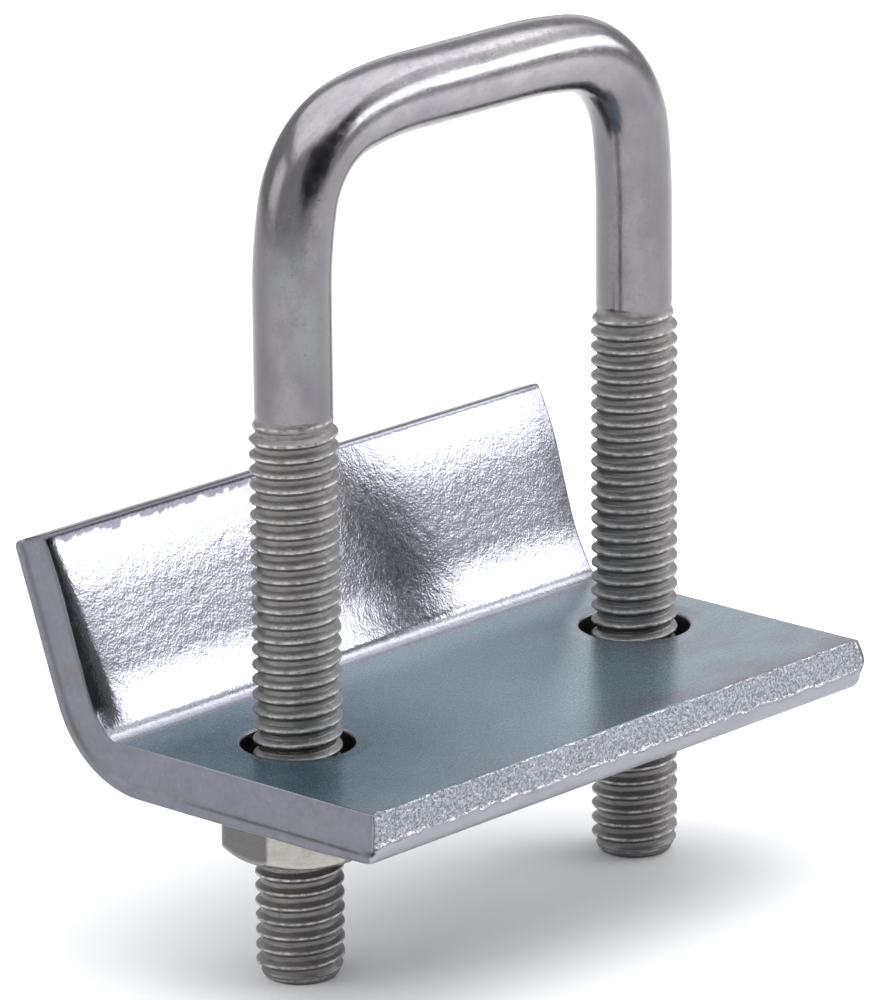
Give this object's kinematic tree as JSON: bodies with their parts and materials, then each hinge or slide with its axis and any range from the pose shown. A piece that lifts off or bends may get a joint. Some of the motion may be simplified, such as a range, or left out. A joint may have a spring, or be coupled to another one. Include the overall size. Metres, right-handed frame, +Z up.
{
  "type": "strut beam clamp with u-bolt",
  "caption": "U-bolt beam clamp: a bent clamp plate with an upturned lip rides on two threaded legs and is held up by hex nuts.",
  "frame": {"origin": "on the clamp plate's upper bearing face, midway between the two leg axes, with the plate where the nuts hold it at rest", "axes": "+X along the U-bolt's bar, +Y towards the plate's upturned lip, +Z up along the legs towards the bar"},
  "size_m": [0.0778, 0.0493, 0.0941],
  "materials": {
    "zinc_bar": "bright zinc plate with a faint violet passivation sheen",
    "zinc_plate": "satin blue-grey zinc plate, bright and pebbled on the lip",
    "zinc_nut": "zinc plate"
  },
  "bodies": {
    "u_bolt": {"u_bolt": "zinc_bar"},
    "clamp_plate": {"clamp_plate": "zinc_plate"},
    "nut_left": {"hex_nut_left": "zinc_nut"},
    "nut_right": {"hex_nut_right": "zinc_nut"}
  },
  "joints": [
    {"name": "plate_slide", "type": "slide", "parent": "u_bolt", "child": "clamp_plate", "axis": [0, 0, 1], "range_m": [-0.01111, 0.0381]},
    {"name": "nut_left_spin", "type": "hinge", "parent": "clamp_plate", "child": "nut_left", "pos_m": [-0.02625, 0, -0.0086], "axis": [0, 0, 1], "range_deg": [-2520, 8640]},
    {"name": "nut_right_spin", "type": "hinge", "parent": "clamp_plate", "child": "nut_right", "pos_m": [0.02625, 0, -0.0086], "axis": [0, 0, 1], "range_deg": [-2520, 8640]}
  ],
  "couplings": [
    {"joint": "nut_left_spin", "follows": "plate_slide", "rad_per_m": 3957.9},
    {"joint": "nut_right_spin", "follows": "plate_slide", "rad_per_m": 3957.9}
  ]
}
